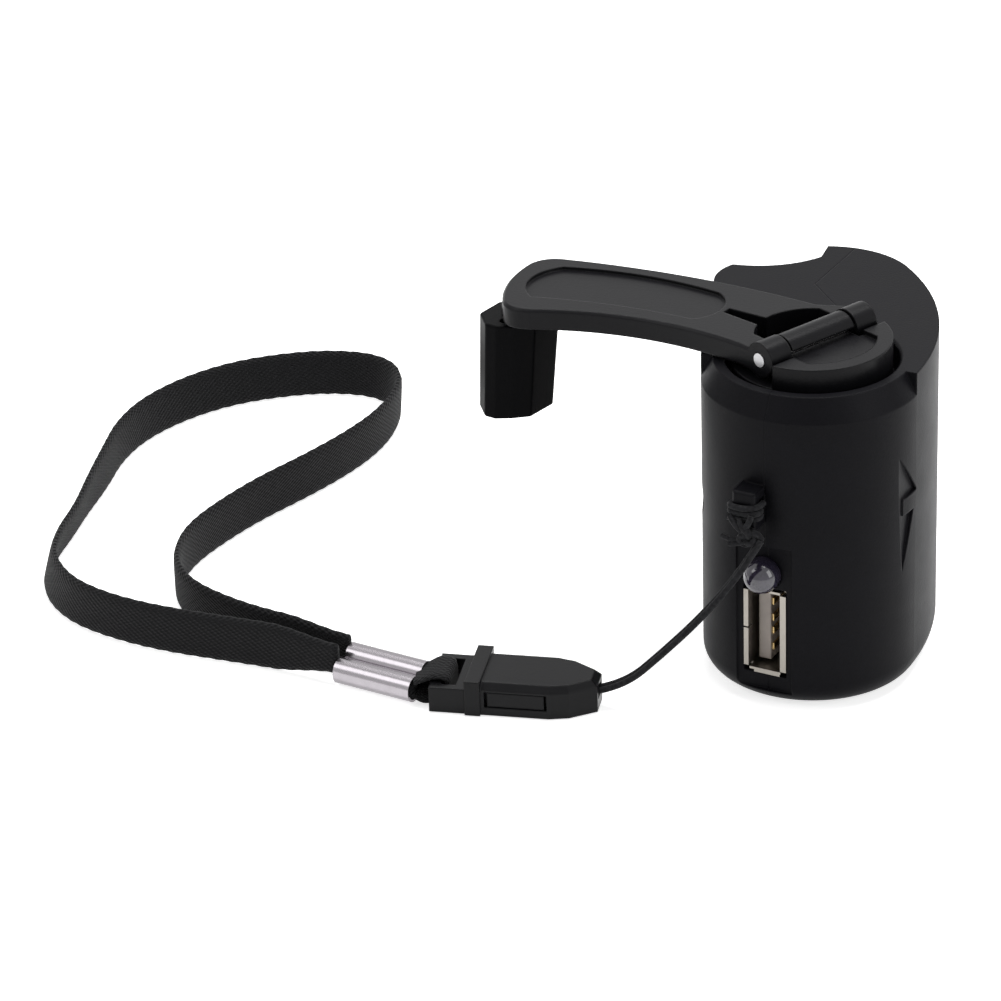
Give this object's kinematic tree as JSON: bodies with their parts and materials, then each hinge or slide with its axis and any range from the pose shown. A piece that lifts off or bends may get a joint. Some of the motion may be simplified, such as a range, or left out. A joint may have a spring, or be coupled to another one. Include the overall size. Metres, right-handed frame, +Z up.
{
  "type": "hand crank phone charger",
  "caption": "Pocket generator with a comma-shaped body, a folding crank on top that drives a gear train, an outlet, a lamp and a wrist strap on a release buckle.",
  "frame": {"origin": "where the crank's axis meets the flat base the body stands on", "axes": "+Z up along the crank's axis, -Y the way the outlet and the lamp look, +X to the right of somebody who faces the outlet from behind the body"},
  "size_m": [0.1385, 0.0871, 0.0518],
  "materials": {
    "shell_plastic": "fine satin texture",
    "hinge_plastic": "satin",
    "knob_plastic": "satin",
    "lens_plastic": "smoky and shiny",
    "tongue_plastic": "matt",
    "webbing": "woven",
    "cord_fibre": "braided",
    "buckle_plastic": "satin",
    "bright_nickel": "bright",
    "screw_steel": "satin",
    "contact_gold": "bright",
    "gear_resin": "natural",
    "brass": "turned",
    "plate_steel": "satin",
    "cap_plastic": "matt",
    "ferrite": "sintered",
    "core_steel": "stacked sheets",
    "copper": "drawn",
    "board_resin": "coated",
    "capacitor_sleeve": "sleeved",
    "component_black": "moulded",
    "wire_cover": "smooth"
  },
  "bodies": {
    "case": {"left_shell": "shell_plastic", "right_shell": "shell_plastic", "case_screws": "screw_steel", "gearbox_top_plate": "plate_steel", "gearbox_base_plate": "plate_steel", "gearbox_spacers": "brass", "gearbox_screws": "screw_steel", "first_axle": "screw_steel", "second_axle": "screw_steel", "generator_can": "plate_steel", "generator_bushing": "brass", "generator_end_cap": "cap_plastic", "generator_brushes": "copper", "generator_magnets": "ferrite", "generator_screws": "screw_steel", "generator_terminals": "brass", "circuit_board": "board_resin", "capacitor": "capacitor_sleeve", "rectifier_diodes": "component_black", "charge_controller": "component_black", "lamp_resistor": "component_black", "outlet_shell": "bright_nickel", "outlet_tongue": "tongue_plastic", "outlet_contacts": "contact_gold", "indicator_lamp": "lens_plastic", "lamp_leads": "copper", "generator_leads": "wire_cover", "lanyard_hitch": "cord_fibre", "lanyard_string_left": "cord_fibre", "lanyard_string_right": "cord_fibre", "buckle_socket": "buckle_plastic", "buckle_frame": "buckle_plastic", "crimp_sleeve": "bright_nickel", "strap_tab": "webbing", "wrist_strap": "webbing"},
    "crank": {"crank_disc": "hinge_plastic", "drive_gear": "gear_resin", "crank_screw": "screw_steel"},
    "arm": {"crank_arm": "hinge_plastic", "hinge_pin": "bright_nickel", "knob_screw": "screw_steel"},
    "grip": {"knob": "knob_plastic"},
    "first_gear": {"first_reduction_gear": "gear_resin"},
    "second_gear": {"second_reduction_gear": "gear_resin"},
    "rotor": {"rotor_shaft": "screw_steel", "rotor_core": "core_steel", "rotor_windings": "copper", "commutator": "copper", "generator_pinion": "brass"}
  },
  "joints": [
    {"name": "crank_spin", "type": "hinge", "parent": "case", "child": "crank", "pos_m": [0, 0, 0.044], "axis": [0, 0, 1], "continuous": true},
    {"name": "arm_fold", "type": "hinge", "parent": "crank", "child": "arm", "pos_m": [0, 0, 0.0493], "axis": [0.3681, 0.9298, 0], "range_deg": [0, 115]},
    {"name": "knob_spin", "type": "hinge", "parent": "arm", "child": "grip", "pos_m": [-0.04361, -0.00338, 0.04], "axis": [0, 0, 1], "continuous": true},
    {"name": "first_gear_spin", "type": "hinge", "parent": "case", "child": "first_gear", "pos_m": [0.0004, 0.01239, 0.034], "axis": [0, 0, 1], "continuous": true},
    {"name": "second_gear_spin", "type": "hinge", "parent": "case", "child": "second_gear", "pos_m": [-0.01, 0.01265, 0.034], "axis": [0, 0, 1], "continuous": true},
    {"name": "rotor_spin", "type": "hinge", "parent": "case", "child": "rotor", "pos_m": [-0.00417, 0.02078, 0.02], "axis": [0, 0, 1], "continuous": true}
  ],
  "couplings": [
    {"joint": "first_gear_spin", "follows": "crank_spin", "ratio": -4.1667},
    {"joint": "second_gear_spin", "follows": "crank_spin", "ratio": 13.889},
    {"joint": "rotor_spin", "follows": "crank_spin", "ratio": -55.556}
  ]
}
